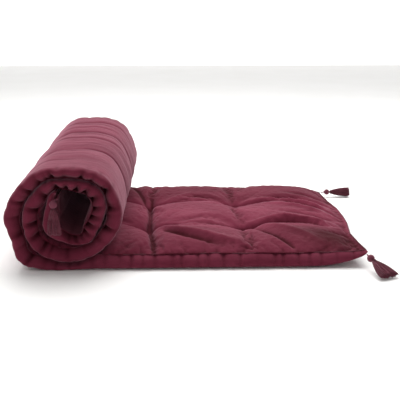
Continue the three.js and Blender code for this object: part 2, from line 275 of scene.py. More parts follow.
def velvet_material(name, tone, sheen):
    """Velvet whose nap lies in soft patches, with painted shade: colour and sheen go dark where the point
    attribute that carries the painted shade is high.
    """
    material, tree, shader = new_material(name)
    flat = stretched(tree, (1, 1, 1))
    along = stretched(tree, (1, 2.6, 1))
    patches = noise(tree, along, 7.0, 4.0, 0.6, 0.4)
    nap = ramp(tree, patches, [
        (0.28, (0.150 * tone, 0.017 * tone, 0.038 * tone)),
        (0.50, (0.190 * tone, 0.024 * tone, 0.051 * tone)),
        (0.72, (0.235 * tone, 0.036 * tone, 0.069 * tone)),
    ])
    pile = noise(tree, flat, 900.0, 2.0, 0.7)
    speckle = ramp(tree, pile, [(0.3, (0.82, 0.82, 0.82)), (0.7, (1.12, 1.12, 1.12))])
    shade = node(tree, "ShaderNodeAttribute", attribute_name="painted_shade").outputs["Fac"]
    # Painted shade: the colour is multiplied towards a dark plum where the painted shade attribute is high
    depth = ramp(tree, shade, [(0.0, (1, 1, 1)), (1.0, (0.30, 0.12, 0.16))])
    brushed = mix(tree, 0.55, nap, mix(tree, 1.0, nap, speckle, "MULTIPLY"))
    tree.links.new(mix(tree, 1.0, brushed, depth, "MULTIPLY"), shader.inputs["Base Color"])
    tree.links.new(remap(tree, patches, 0.98, 0.82), shader.inputs["Roughness"])
    shader.inputs["Specular IOR Level"].default_value = 0.10
    # Painted shade: the sheen fades where the painted shade attribute is high
    tree.links.new(remap(tree, shade, sheen, 0.04 * sheen), shader.inputs["Sheen Weight"])
    shader.inputs["Sheen Roughness"].default_value = 0.42
    shader.inputs["Sheen Tint"].default_value = (1.0, 0.56, 0.68, 1)
    creases = noise(tree, stretched(tree, (1, 1.7, 1)), 55.0, 5.0, 0.62, 0.6)
    soft = bump(tree, creases, 0.30, 0.004)
    tree.links.new(bump(tree, pile, 0.25, 0.0006, soft), shader.inputs["Normal"])
    return material


def yarn_material(name, colours, scale=900.0):
    material, tree, shader = new_material(name)
    place = stretched(tree, (1, 1, 1), "Object")
    fibres = noise(tree, place, scale, 3.0, 0.7)
    tone = noise(tree, place, 60.0, 2.0)
    colour = ramp(tree, tone, [(0.3, colours[0]), (0.7, colours[1])])
    shade = ramp(tree, fibres, [(0.3, (0.7, 0.7, 0.7)), (0.7, (1.2, 1.2, 1.2))])
    tree.links.new(mix(tree, 1.0, colour, shade, "MULTIPLY"), shader.inputs["Base Color"])
    tree.links.new(remap(tree, fibres, 0.75, 0.95), shader.inputs["Roughness"])
    shader.inputs["Specular IOR Level"].default_value = 0.25
    shader.inputs["Sheen Weight"].default_value = 0.3
    shader.inputs["Sheen Roughness"].default_value = 0.4
    shader.inputs["Sheen Tint"].default_value = (1.0, 0.6, 0.72, 1)
    tree.links.new(bump(tree, fibres, 0.5, 0.0006), shader.inputs["Normal"])
    return material


def cotton_material(name, colours):
    material, tree, shader = new_material(name)
    place = stretched(tree, (1, 1, 1), "Object")
    clouds = noise(tree, place, 40.0, 5.0, 0.7, 1.0)
    tree.links.new(ramp(tree, clouds, [(0.3, colours[0]), (0.7, colours[1])]), shader.inputs["Base Color"])
    tree.links.new(remap(tree, clouds, 0.85, 1.0), shader.inputs["Roughness"])
    tree.links.new(bump(tree, clouds, 0.6, 0.003), shader.inputs["Normal"])
    return material


# ---------------------------------------------------------------- the wound line

def smooth_table(values, step, at):
    """Catmull-Rom through evenly spaced values."""
    values = np.asarray(values, float)
    place = np.clip(np.asarray(at, float) / step, 0, len(values) - 1.0001)
    i = place.astype(int)
    t = place - i
    padded = np.concatenate([[2 * values[0] - values[1]], values, [2 * values[-1] - values[-2]]])
    a, b, c, d = (padded[i + k] for k in range(4))
    return b + 0.5 * t * (c - a + t * (2 * a - 5 * b + 4 * c - d + t * (3 * (b - c) + d - a)))


def radius_at(angle):
    return smooth_table(RADII, TURN_STEP, angle) / 1000


LINE_STEP = 0.002
RISE_FROM, RISE_RUN = 0.40, 0.15  # where along the tail the far side starts to rise, and how fast


class Line:
    """The mattress's outer face unrolled: place, inward direction and free depth by length u."""

    def __init__(self):
        s = np.arange(0, TAIL, LINE_STEP)
        angle = np.arange(0, LAST_ANGLE + 0.5, 1.0)
        a = np.radians(angle)
        r = radius_at(angle)
        self.x = np.concatenate([END_X - s, AXIS_X - r * np.sin(a)])
        self.z = np.concatenate([np.zeros(len(s)), AXIS_HEIGHT - r * np.cos(a)])
        self.dx = np.concatenate([np.zeros(len(s)), np.sin(a)])
        self.dz = np.concatenate([np.ones(len(s)), np.cos(a)])
        mx, mz = self.x + MIDDLE * self.dx, self.z + MIDDLE * self.dz
        self.u = np.concatenate([[0], np.cumsum(np.hypot(np.diff(mx), np.diff(mz)))])
        self.length = self.u[-1]
        self.angle = np.concatenate([np.full(len(s), -1.0), angle])
        over = self.above_tail(END_X - s)
        inner = np.interp(angle, *np.array(EYE_LOFT, float).T) / 1000
        turn = np.where(angle + 360 <= LAST_ANGLE, r - radius_at(angle + 360), inner)
        self.room = np.concatenate([over, turn]) - TURN_GAP
        self.rise = np.concatenate([np.clip((s - RISE_FROM) / RISE_RUN, 0, 1), np.ones(len(angle))])

    def above_tail(self, x):
        """Height of the outer turn's face over the tail, where it hangs over it."""
        angle = np.arange(270, 360.5, 1.0)
        r = radius_at(angle)
        fx = AXIS_X - r * np.sin(np.radians(angle))
        fz = AXIS_HEIGHT - r * np.cos(np.radians(angle))
        height = np.interp(x, fx[::-1], fz[::-1], right=1.0)
        return np.where(x > fx.max() - 0.004, 1.0, height)

    def at(self, u, name):
        return np.interp(u, self.u, getattr(self, name))

    def place(self, u, y, n):
        """Points at length u, across y from the middle, raised n from the outer face."""
        x = self.at(u, "x") + self.at(u, "dx") * n
        z = self.at(u, "z") + self.at(u, "dz") * n
        z = np.maximum(z * (1 + FAR_RISE * self.at(u, "rise") * (y / WIDTH + 0.5)), FLOOR_GAP)
        return np.stack([x + end_reach(u, y), MID_Y + y, z], -1)


# How far the open end's edge stands out of square, by distance from the near edge
END_EDGE = ((0, -0.004), (0.07, -0.008), (0.145, -0.009), (0.24, 0.006), (0.3, 0.011), (0.395, 0.014),
            (0.477, 0.007), (0.555, 0.005), (0.585, 0.005), (0.6, 0.010))


def end_reach(u, y):
    edge = np.interp(y + WIDTH / 2, *np.array(END_EDGE).T)
    return edge * np.clip(1 - u / 0.15, 0, 1) ** 1.5


line = Line()
LENGTH = line.length
TUFTS = [TUFT_FROM_END + k * TUFT_PITCH for k in range(TUFT_COLUMNS)]


def angle_to_u(angle):
    turned = line.angle >= 0
    return float(np.interp(angle, line.angle[turned], line.u[turned]))


# ---------------------------------------------------------------- fields on the cloth

def tuft_distance(u, y):
    along = np.min(np.abs(u[..., None] - np.array(TUFTS)), -1)
    across = np.min(np.abs(y[..., None] - np.array(TUFT_ROWS)), -1)
    return along, across, np.hypot(along, across)


def end_share(u):
    """How much of the crown is left towards the two ends."""
    away = np.minimum(u, LENGTH - u)
    return np.sin(np.pi / 2 * np.clip(away / END_TAPER, 0, 1)) ** 0.8


def seam_height(u):
    """Height of the seam that joins the two covers, along the sides."""
    return np.minimum(SEAM, line.at(u, "room") - SEAM_ROOM)


def end_seam_height(y):
    """Height of the seam across the open end, from its near corner to its far one."""
    return NEAR_CORNER + (FAR_CORNER - NEAR_CORNER) * (y / WIDTH + 0.5)


def plump(u, y):
    """The smooth crowned shape of the upper face before its creases."""
    along, across, d = tuft_distance(u, y)
    a = np.cos(np.pi * np.clip(along / (TUFT_PITCH / 2), 0, 1) / 2) ** 2
    b = np.cos(np.pi * np.clip(across / ROW_REACH, 0, 1) / 2) ** 2
    n = CROWN * (1 - COLUMN_DIP * a * (1 - b) - ROW_DIP * b * (1 - a) - CROSS_DIP * a * b)
    n = n - DIMPLE_DEPTH * np.exp(-(d / DIMPLE_REACH) ** 1.3)
    edge = np.clip((WIDTH / 2 - np.abs(y)) / SHOULDER, 0, 1)
    side = SEAM + (n - SEAM) * np.sin(edge * np.pi / 2) ** 0.9
    return END_CROWN + (side - END_CROWN) * end_share(u)


def blur_matrix(count, cell, sigma):
    """Weights that smooth count evenly spaced rows by a bell of width sigma."""
    k = np.arange(count)
    w = np.exp(-0.5 * ((k[:, None] - k[None, :]) * cell / sigma) ** 2)
    return w / w.sum(1, keepdims=True)


def blurred(field, cells, sigma):
    """A field smoothed along and across, on a grid with the given pair of cell sizes."""
    along = blur_matrix(field.shape[0], cells[0], sigma)
    across = blur_matrix(field.shape[1], cells[1], sigma)
    return along @ field @ across.T


def resample_matrix(old, new):
    """Catmull-Rom weights that take old evenly spaced rows to new ones."""
    place = np.linspace(0, old - 1, new)
    i = np.minimum(place.astype(int), old - 2)
    t = place - i
    weights = np.zeros((new, old))
    terms = (
        -0.5 * t + t ** 2 - 0.5 * t ** 3,
        1 - 2.5 * t ** 2 + 1.5 * t ** 3,
        0.5 * t + 2 * t ** 2 - 1.5 * t ** 3,
        -0.5 * t ** 2 + 0.5 * t ** 3,
    )
    rows = np.arange(new)
    for k, term in enumerate(terms):
        np.add.at(weights, (rows, np.clip(i + k - 1, 0, old - 1)), term)
    return weights


def grid_mesh(name, points):
    """A sheet of quads over a grid of points."""
    rows, columns = points.shape[:2]
    index = np.arange(rows * columns).reshape(rows, columns)
    faces = np.stack([index[:-1, :-1], index[:-1, 1:], index[1:, 1:], index[1:, :-1]], -1)
    mesh = bpy.data.meshes.new(name)
    mesh.from_pydata(points.reshape(-1, 3).tolist(), [], faces.reshape(-1, 4).tolist())
    return mesh


def simulate(name, u, y, n, pinned):
    """Blender cloth: a pinned sheet swells and buckles. Returns its points, flat, as (-u, y, n)."""
    mesh = grid_mesh(name, np.stack([-u, y, n], -1))
    sheet = bpy.data.objects.new(name, mesh)
    bpy.context.scene.collection.objects.link(sheet)
    group = sheet.vertex_groups.new(name="pin")
    group.add(np.flatnonzero(pinned.ravel()).tolist(), 1.0, "REPLACE")
    cloth = sheet.modifiers.new("Cloth", "CLOTH")
    c = cloth.settings
    c.quality = 5
    c.mass = 0.3
    c.tension_stiffness = c.compression_stiffness = 15
    c.shear_stiffness = 5
    c.bending_stiffness = 0.02
    c.air_damping = 3
    c.vertex_group_mass = "pin"
    c.use_pressure = True
    c.uniform_pressure_force = SIM_PRESSURE
    c.shrink_min = SIM_SLACK
    c.effector_weights.gravity = 0
    cloth.collision_settings.use_collision = False
    cloth.point_cache.frame_end = SIM_FRAMES
    for step in range(1, SIM_FRAMES + 1):
        bpy.context.scene.frame_set(step)
    evaluated = sheet.evaluated_get(bpy.context.evaluated_depsgraph_get()).to_mesh()
    out = np.empty(len(evaluated.vertices) * 3, np.float32)
    evaluated.vertices.foreach_get("co", out)
    bpy.context.scene.frame_set(1)
    bpy.data.objects.remove(sheet)
    bpy.data.meshes.remove(mesh)
    return out.reshape(*u.shape, 3).astype(float)


def quilt_wrinkles(rows, columns):
    """Creases of the upper cover from a cloth simulation: height and slide, on rows by columns points."""
    nu, nv = int(LENGTH / SIM_CELL), int(WIDTH / SIM_CELL)
    u, y = np.meshgrid(np.linspace(0, LENGTH, nu + 1), np.linspace(-WIDTH / 2, WIDTH / 2, nv + 1),
                       indexing="ij")
    n = plump(u, y)
    d = tuft_distance(u, y)[2]
    jitter = np.random.default_rng(7).normal(0, JITTER, n.shape) * (d > JITTER_CLEAR)
    pinned = d < PIN_RADIUS
    pinned[[0, -1], :] = True
    pinned[:, [0, -1]] = True
    out = simulate("quilt", u, y, n + jitter, pinned)
    out -= np.stack([-u, y, np.zeros_like(n)], -1)
    smooth = blurred(out[..., 2], (SIM_CELL, SIM_CELL), WRINKLE_SIZE)
    fields = [out[..., 2] - smooth, -out[..., 0], out[..., 1]]
    to_u, to_v = resample_matrix(nu + 1, rows), resample_matrix(nv + 1, columns)
    return [to_u @ f @ to_v.T for f in fields]


def segment_fold(u, y, path, height, width, steep):
    """A ridge (height above 0) or valley along a path of (u, y) points, fading at its ends.

    A steep fold falls off faster on its left side."""
    best = np.full(u.shape, np.inf)
    side = np.zeros(u.shape)
    share = np.zeros(u.shape)
    lengths = [math.dist(path[k], path[k + 1]) for k in range(len(path) - 1)]
    total, run = sum(lengths), 0.0
    for (a, b), length in zip(zip(path[:-1], path[1:]), lengths):
        ex, ey = (b[0] - a[0]) / length, (b[1] - a[1]) / length
        t = np.clip((u - a[0]) * ex + (y - a[1]) * ey, 0, length)
        du, dy = u - a[0] - t * ex, y - a[1] - t * ey
        d = np.hypot(du, dy)
        closer = d < best
        best = np.where(closer, d, best)
        side = np.where(closer, np.sign(ex * dy - ey * du), side)
        share = np.where(closer, (run + t) / total, share)
        run += length
    scale = width * (1 - steep * side)
    fade = np.sin(np.pi * np.clip(share, 0.02, 0.98)) ** 0.6
    return height * fade * np.exp(-(best / scale) ** 1.5)


def gathers(u, seed, low, high, depth, width):
    """Narrow valleys at uneven spacing along the edge: 0 between them, 1 and less in them."""
    local = np.random.default_rng(seed)
    total = np.zeros(u.shape)
    at = 0.012
    while at < LENGTH:
        w = width * local.uniform(0.7, 1.5)
        total += depth * local.uniform(0.35, 1.0) * np.exp(-np.abs((u - at) / w) ** 1.6)
        at += local.uniform(low, high)
    return total


def drift(u, seed, scale):
    """A slow smooth random walk between -1 and 1 along the length."""
    local = np.random.default_rng(seed)
    knots = local.uniform(-1, 1, int(LENGTH / scale) + 4)
    return smooth_table(knots, scale, u)


def cloud(u, y, seed, cell_u, cell_y):
    """Smooth 2-D noise between -1 and 1, with cells cell_u long and cell_y wide."""
    local = np.random.default_rng(seed)
    rows, columns = int(LENGTH / cell_u) + 4, int(WIDTH / cell_y) + 4
    knots = local.uniform(-1, 1, (rows, columns))
    pu, py = u / cell_u, (y + WIDTH / 2) / cell_y
    i, j = np.clip(pu.astype(int), 0, rows - 2), np.clip(py.astype(int), 0, columns - 2)
    tu, ty = pu - i, py - j
    tu, ty = tu * tu * (3 - 2 * tu), ty * ty * (3 - 2 * ty)
    low = knots[i, j] * (1 - ty) + knots[i, j + 1] * ty
    high = knots[i + 1, j] * (1 - ty) + knots[i + 1, j + 1] * ty
    return low * (1 - tu) + high * tu


# Folds of the tail's upper face: path from (u, y) to (u, y), height, width, steepness
TAIL_FOLDS = (
    (((0.482, -0.14), (0.483, 0.0), (0.482, 0.14)), -0.016, 0.0085, 0.0),
    (((0.483, -0.07), (0.474, -0.19), (0.462, -0.300)), -0.014, 0.0085, 0.0),
    (((0.482, 0.07), (0.520, 0.18), (0.56, 0.28)), -0.011, 0.010, 0.0),
    (((0.462, -0.115), (0.405, -0.175), (0.335, -0.225), (0.255, -0.258)), 0.010, 0.012, 0.45),
    (((0.450, -0.150), (0.390, -0.210), (0.320, -0.258)), -0.009, 0.010, 0.0),
    (((0.245, -0.108), (0.205, -0.185), (0.155, -0.280)), -0.015, 0.0095, 0.3),
    (((0.222, -0.105), (0.175, -0.165), (0.105, -0.245)), 0.009, 0.014, 0.3),
    (((0.255, -0.085), (0.165, -0.062), (0.075, -0.095), (0.012, -0.150)), 0.009, 0.012, -0.4),
    (((0.250, -0.105), (0.155, -0.090), (0.065, -0.130)), -0.008, 0.009, 0.0),
    (((0.250, 0.112), (0.165, 0.118), (0.070, 0.060), (0.012, 0.010)), 0.008, 0.011, -0.3),
    (((0.250, 0.092), (0.150, 0.092), (0.060, 0.034), (0.010, -0.015)), -0.008, 0.009, 0.0),
    (((0.200, 0.060), (0.105, 0.022), (0.012, -0.045)), 0.006, 0.010, 0.0),
    (((0.190, 0.135), (0.095, 0.115), (0.012, 0.060)), -0.007, 0.010, 0.0),
    (((0.170, -0.015), (0.085, -0.042), (0.012, -0.088)), -0.006, 0.009, 0.0),
    (((0.130, 0.170), (0.070, 0.160), (0.012, 0.110)), -0.005, 0.010, 0.0),
)


def row_creases(along, across):
    """Depth of the straight creases that join the ties of each row, deepest at the ties."""
    run = np.exp(-(across / ROW_CREASE_WIDTH) ** 1.3) * np.exp(-(along / ROW_CREASE_RUN) ** 4)
    return ROW_CREASE_DEPTH * run * (0.6 + 0.4 * np.exp(-along / 0.03))


def edge_puckers(u, y):
    """Depth of the short puckers beside the seams, along the sides and across the ends."""
    edge, end = WIDTH / 2 - np.abs(y), np.minimum(u, LENGTH - u)
    sides = gathers(u, 21, 0.014, 0.027, 1.0, 0.0035) * np.exp(-(edge / 0.028) ** 1.5)
    samples = np.linspace(0, WIDTH, 601)
    across = np.interp(y + WIDTH / 2, samples, gathers(samples, 22, 0.016, 0.034, 1.0, 0.004))
    return SIDE_PUCKER * sides + END_PUCKER * across * np.exp(-(end / 0.035) ** 1.5)


def drawn_to_seam(n, seam, inward):
    """Brings a height down to the seam's, by the distance inward from it."""
    near = np.clip(inward / SEAM_RUN, 0, 1)
    blend = near * near * (3 - 2 * near)
    return seam + (n - seam) * blend ** 0.55


def upper_field(u, y):
    """Height of the upper cover and how far its points slide along and across."""
    high, slide_u, slide_y = quilt_wrinkles(*u.shape)
    cells = LENGTH / (u.shape[0] - 1), WIDTH / (u.shape[1] - 1)
    n = blurred(plump(u, y), cells, CROWN_BLUR) + WRINKLE_SHARE * high
    for path, height, width, steep in TAIL_FOLDS:
        n = n + segment_fold(u, y, path, height, width, steep)
    along, across, d = tuft_distance(u, y)
    n = n - row_creases(along, across) - TIE_PULL * np.exp(-(d / TIE_REACH) ** 2) - edge_puckers(u, y)
    inward = np.minimum(WIDTH / 2 - np.abs(y), np.minimum(u, LENGTH - u))
    n = drawn_to_seam(n, join_height(u, y), inward)
    n = LEAST_HEIGHT + LEAST_EASE * np.logaddexp(0, (n - LEAST_HEIGHT) / LEAST_EASE)
    room = line.at(u, "room") - TURN_CLEARANCE
    n = (n ** -7.0 + room ** -7.0) ** (-1 / 7.0)
    keep = SLIDE_SHARE * np.clip(inward / 0.03, 0, 1)
    return n, slide_u * keep, slide_y * keep


def join_height(u, y):
    """Height of the line where the covers meet: the side seam, easing to the seam of each end."""
    ease = np.clip(1 - u / 0.10, 0, 1) ** 1.2
    height = seam_height(u) * (1 - ease) + end_seam_height(y) * ease
    inner = np.clip(1 - (LENGTH - u) / 0.03, 0, 1)
    height = height * (1 - inner) + INNER_SEAM * inner
    return height + 0.0012 * drift(u, 31, 0.03) * (1 - inner)


LIFT_NEAR, LIFT_FAR = 0.13, 0.09  # how far in from the open end its near and far sides leave the floor
LIFT_SHARE = 0.82
LIP = 0.004


def under_lift(u, y):
    """How far the underside stands clear at the open end, up to the seam that closes each end."""
    reach = LIFT_NEAR + (LIFT_FAR - LIFT_NEAR) * (y / WIDTH + 0.5)
    share = np.clip(1 - u / reach, 0, 1)
    tip = join_height(0 * u, y)
    rise = LIFT_SHARE * tip * share ** 2.2 + (1 - LIFT_SHARE) * tip * np.exp(-(u / LIP))
    return rise + INNER_SEAM * np.exp(-((LENGTH - u) / LIP))


ROW_CREASE_FROM = 0.004  # creases deeper than this lie along the rows of ties

# Creases round the outside of the roll: middle y, depth, width, from u, to u
ROLL_CREASES = (
    (-0.100, 0.0052, 0.0055, 0.50, 1.45), (0.100, 0.0046, 0.0060, 0.50, 1.45),
    (0.012, 0.0034, 0.0060, 0.86, 1.10), (0.212, 0.0034, 0.0060, 0.84, 1.14),
    (-0.128, 0.0014, 0.0040, 0.90, 1.04), (-0.170, 0.0012, 0.0035, 0.93, 1.06),
    (-0.215, 0.0012, 0.0035, 0.88, 1.00), (0.145, 0.0020, 0.0045, 0.92, 1.06),
    (0.060, 0.0014, 0.0040, 0.96, 1.10), (-0.045, 0.0012, 0.0040, 0.95, 1.05),
)


def roll_crease(u, y, along, k):
    """Depth of one of the creases round the roll; the two deep ones are deepest at the ties."""
    middle, depth, width, first, last = ROLL_CREASES[k]
    at = middle + 0.0035 * drift(u, 40 + k, 0.06)
    share = np.clip((u - first) / (last - first), 0, 1)
    near_tuft = 0.7 + 0.3 * np.exp(-along / 0.035) if depth > ROW_CREASE_FROM else 1.0
    return depth * np.sin(np.pi * share) ** 0.45 * near_tuft * np.exp(-(np.abs(y - at) / width) ** 1.25)


def lower_field(u, y):
    """Height of the lower cover: the roll's outside, tufted and creased round, flat on the floor."""
    along, across, d = tuft_distance(u, y)
    turned = np.clip((u - TAIL + 0.02) / 0.06, 0, 1)
    n = UNDER_DIMPLE * np.exp(-(d / UNDER_REACH) ** 1.4)
    n = n + ROW_HOLLOW * np.exp(-(across / ROW_HOLLOW_REACH) ** 2) * turned
    for k in range(len(ROLL_CREASES)):
        n = n + roll_crease(u, y, along, k)
    n = n - CELL_SWELL * (1 - np.exp(-(across / 0.045) ** 2)) * turned
    n = n + turned * (0.0016 * cloud(u, y, 61, 0.09, 0.045) + 0.0007 * cloud(u, y, 62, 0.07, 0.016))
    edge = WIDTH / 2 - np.abs(y)
    pucker = gathers(u, 24, 0.020, 0.042, 1.0, 0.0045)
    n = n + EDGE_PUCKER * pucker * np.exp(-(edge / 0.016) ** 1.4) * turned
    n = n + under_lift(u, y)
    return np.maximum(n, LEAST_UNDER * turned)


# Deep pleats of the roll's near face, by angle in degrees, with their depth
PLEATS = ((112, 0.004), (131, 0.005), (150, 0.003), (168, 0.006), (205, 0.004), (237, 0.009), (258, 0.006),
          (283, 0.005), (70, 0.004), (40, 0.005), (395, 0.005), (418, 0.006), (441, 0.006), (468, 0.004),
          (505, 0.005), (530, 0.006), (548, 0.006), (566, 0.008), (580, 0.007), (597, 0.008), (613, 0.007),
          (628, 0.008), (645, 0.007), (662, 0.006), (690, 0.006), (705, 0.006))


def band_folds(u):
    """Depth of the side band's gathers and pleats by length."""
    depth = gathers(u, 23, 0.016, 0.042, 0.0058, 0.0042)
    for angle, deep in PLEATS:
        depth = depth + PLEAT_GAIN * deep * np.exp(-np.abs((u - angle_to_u(angle)) / PLEAT_WIDTH) ** 1.6)
    return depth


# ---------------------------------------------------------------- covers

PLEAT_GAIN, PLEAT_WIDTH = 2.3, 0.0046
BAND_STEPS = 11
BAND_TUCK = 0.012
BAND_BULGE = 0.0050
FOLD_TUCK = 0.75
BAND_ROUND = 0.008
TUCK_REACH = 0.006


def finish_piece(name, mesh, material):
    piece = bpy.data.objects.new(name, mesh)
    bpy.context.scene.collection.objects.link(piece)
    mesh.materials.append(material)
    mesh.shade_smooth()
    return piece


def set_uv(mesh, uv):
    """Gives each corner of a face the place of its point on the flat cloth, in metres."""
    layer = mesh.uv_layers.new(name="cloth")
    index = np.empty(len(mesh.loops), np.int32)
    mesh.loops.foreach_get("vertex_index", index)
    layer.data.foreach_set("uv", uv.reshape(-1, 2)[index].astype(np.float32).ravel())


VALLEY_REACH = 0.010


def set_painted_shade(mesh, shade):
    """Stores the painted shade at each point: 0 on open cloth, 1 where the colour is painted darkest."""
    layer = mesh.attributes.new("painted_shade", "FLOAT", "POINT")
    layer.data.foreach_set("value", np.clip(shade, 0, 1).astype(np.float32).ravel())


def valley(n, depth):
    """1 where the cloth lies a depth or more below its neighbourhood; the covers use it for painted shade in
    their valleys.
    """
    around = blurred(n, (CELL_ALONG, CELL_ACROSS), VALLEY_REACH)
    return np.clip((around - n) / depth, 0, 1)


def cover_grid():
    count_u, count_v = int(LENGTH / CELL_ALONG), int(WIDTH / CELL_ACROSS)
    return np.meshgrid(np.linspace(0, LENGTH, count_u + 1),
                       np.linspace(-WIDTH / 2, WIDTH / 2, count_v + 1), indexing="ij")


def tucked(y, amount):
    """Moves points near the long edges inwards by amount."""
    edge = WIDTH / 2 - np.abs(y)
    return y - np.sign(y) * amount * np.exp(-(edge / TUCK_REACH) ** 2)


def make_upper_cover(material):
    u, y = cover_grid()
    n, slide_u, slide_y = upper_field(u, y)
    tuck = BAND_TUCK + FOLD_TUCK * band_folds(u)
    flat_u = np.clip(u + slide_u, 0, LENGTH)
    points = line.place(flat_u + end_tuck(u), tucked(y, tuck) + slide_y, n)
    mesh = grid_mesh("upper_cover", points)
    set_uv(mesh, np.stack([u, y], -1))
    # Painted shade: darker deep in the upper cover's valleys, plus the painted shade of its sides, rims and
    # near corner
    set_painted_shade(mesh, 0.85 * valley(n, 0.0035) + painted_cover_shade(u, y))
    return finish_piece("upper_cover", mesh, material), n


# Painted shade on the upper cover: its strength beyond each row of ties, at the near corner and at the rims,
# and where the corner patch and rims lie
FAR_SHADE, NEAR_SHADE, CORNER_SHADE, RIM_SHADE = 0.42, 0.22, 0.80, 0.5
CORNER_MIDDLE = (0.07, -0.215)
CORNER_REACH = (0.075, 0.065)
RIM_REACH = 0.012


def painted_cover_shade(u, y):
    """Painted shade on the upper cover: darker outside the rows of ties, at the rims and at the open end's
    near corner.
    """
    far = FAR_SHADE * np.clip((y - 0.10) / 0.04, 0, 1)
    near = NEAR_SHADE * np.clip((-0.13 - y) / 0.05, 0, 1)
    along, across = (u - CORNER_MIDDLE[0]) / CORNER_REACH[0], (y - CORNER_MIDDLE[1]) / CORNER_REACH[1]
    corner = CORNER_SHADE * np.exp(-along ** 2 - across ** 2)
    rim = RIM_SHADE * np.exp(-((WIDTH / 2 - np.abs(y)) / RIM_REACH) ** 2)
    return far + near + corner + rim


def end_tuck(u):
    """The ends' seams are drawn in a little too."""
    return 0.002 * np.exp(-(u / 0.005) ** 2) - 0.002 * np.exp(-((LENGTH - u) / 0.005) ** 2)


def side_band(u, edge, side):
    """Rows of points up one side band, from the seam down, and the painted shade of each: darker in its
    gathers and, once rolled, near the seam where the turns meet.
    """
    steps = np.linspace(1, 0, BAND_STEPS + 1)[:-1]
    folds = band_folds(u)
    wave = gathers(u, 25, 0.03, 0.06, 1.0, 0.012)
    swell = BAND_BULGE * np.clip(np.minimum(u, LENGTH - u) / 0.10 - 0.2, 0, 1)
    top = join_height(u, np.full(len(u), side * WIDTH / 2))
    band = []
    for step in steps:
        out = swell * np.sin(np.pi * step) ** 0.7 * (1 - 0.3 * wave)
        tuck = (BAND_TUCK + FOLD_TUCK * folds) * step ** 3.5
        round_off = BAND_ROUND * (1 - np.sqrt(1 - np.clip(1 - step / 0.30, 0, 1) ** 2))
        deep = 1.3 * folds * step ** 1.1 * np.clip((1 - step) / 0.25, 0, 1) ** 0.5
        reach = WIDTH / 2 + out - tuck - round_off - deep
        band.append(line.place(u + end_tuck(u), side * reach, edge + (top - edge) * step))
    rolled = np.clip((u - TAIL) / 0.05, 0, 1)[:, None]
    gathered = np.minimum(folds / 0.008, 1)[:, None]
    # Painted shade: darker in the gathers, and on the rolled turns near the seam between them
    shade = gathered * (0.25 + 0.55 * steps) + 0.75 * rolled * steps ** 5
    return np.stack(band, 1), shade


def make_lower_cover(material):
    """The underside and both side bands in one sheet, its columns from the far side to the near."""
    u, y = cover_grid()
    u_line = u[:, 0]
    n = lower_field(u, y)
    near, near_shade = side_band(u_line, n[:, 0], -1)
    far, far_shade = side_band(u_line, n[:, -1], 1)
    middle = line.place(u + end_tuck(u), y * (1 - 2 * BAND_ROUND / WIDTH), n)
    points = np.concatenate([near, middle, far[:, ::-1]], 1)
    mesh = grid_mesh("lower_cover", points[:, ::-1])
    # Painted shade: the side bands' own, and darker in the underside's valleys
    shade = np.concatenate([near_shade, 0.8 * valley(-n, 0.0022), far_shade[:, ::-1]], 1)
    set_painted_shade(mesh, shade[:, ::-1])
    steps = np.linspace(1, 0, BAND_STEPS + 1)[:-1]
    wide = np.concatenate([-WIDTH / 2 - SEAM * steps, y[0], WIDTH / 2 + SEAM * steps[::-1]])
    set_uv(mesh, np.stack(np.meshgrid(u_line, wide[::-1], indexing="ij"), -1))
    return finish_piece("lower_cover", mesh, material), n


# ---------------------------------------------------------------- filling, seam and ties

COVER_THICK = 0.0018
BATTING_STEP = 4
BATTING_WIDTH = 0.97  # as a share of the covers' width
LEAST_FILL = 0.0012
SEAM_THREAD = 0.0009
STRAND_COUNT = 3
STRAND_RADIUS = 0.0006
STITCH_RADIUS = 0.0009
STITCH_REACH = 0.0042
# Each layer's share of the filling, from below
LAYERS = (("lower_batting", 0.0, 0.265), ("core_batting", 0.275, 0.725), ("upper_batting", 0.735, 1.0))


def slab(name, top, bottom, material):
    """A closed body between two grids of points."""
    rows, columns = top.shape[:2]
    index = np.arange(rows * columns).reshape(rows, columns)
    quads = np.stack([index[:-1, :-1], index[:-1, 1:], index[1:, 1:], index[1:, :-1]], -1).reshape(-1, 4)
    rim = np.concatenate([index[0, :], index[1:, -1], index[-1, -2::-1], index[-2:0:-1, 0]])
    after = np.roll(rim, -1)
    under = rows * columns
    walls = np.stack([after, rim, rim + under, after + under], -1)
    faces = np.concatenate([quads, quads[:, ::-1] + under, walls])
    mesh = bpy.data.meshes.new(name)
    mesh.from_pydata(np.concatenate([top.reshape(-1, 3), bottom.reshape(-1, 3)]).tolist(), [], faces.tolist())
    return finish_piece(name, mesh, material)


def block_filter(field, step, pick):
    """The lowest or highest value near each kept point of a grid."""
    rows, columns = field.shape
    out = field.copy()
    for di in range(-step, step + 1):
        out = pick(out, field[np.clip(np.arange(rows) + di, 0, rows - 1)])
    base = out.copy()
    for dj in range(-step, step + 1):
        out = pick(out, base[:, np.clip(np.arange(columns) + dj, 0, columns - 1)])
    return out


def make_filling(materials, upper_n, lower_n):
    """The layers of batting between the covers, clear of both."""
    u, y = cover_grid()
    keep_u = slice(8, -6, BATTING_STEP)
    keep_v = slice(5, -4, BATTING_STEP)
    high = block_filter(upper_n, BATTING_STEP, np.minimum)[keep_u, keep_v] - COVER_THICK
    low = block_filter(lower_n, BATTING_STEP, np.maximum)[keep_u, keep_v] + COVER_THICK
    uu, yy = u[keep_u, keep_v], y[keep_u, keep_v] * BATTING_WIDTH
    middle = ((upper_n + lower_n) / 2)[keep_u, keep_v]
    low = np.where(uu < 0.08, np.minimum(low, middle - LEAST_FILL / 2), low)
    high = np.maximum(high, low + LEAST_FILL)
    body = high - low
    pieces = []
    for name, bottom, top in LAYERS:
        pieces.append(slab(name + "_fill", line.place(uu, yy, low + top * body),
                           line.place(uu, yy, low + bottom * body), materials[name]))
    return pieces


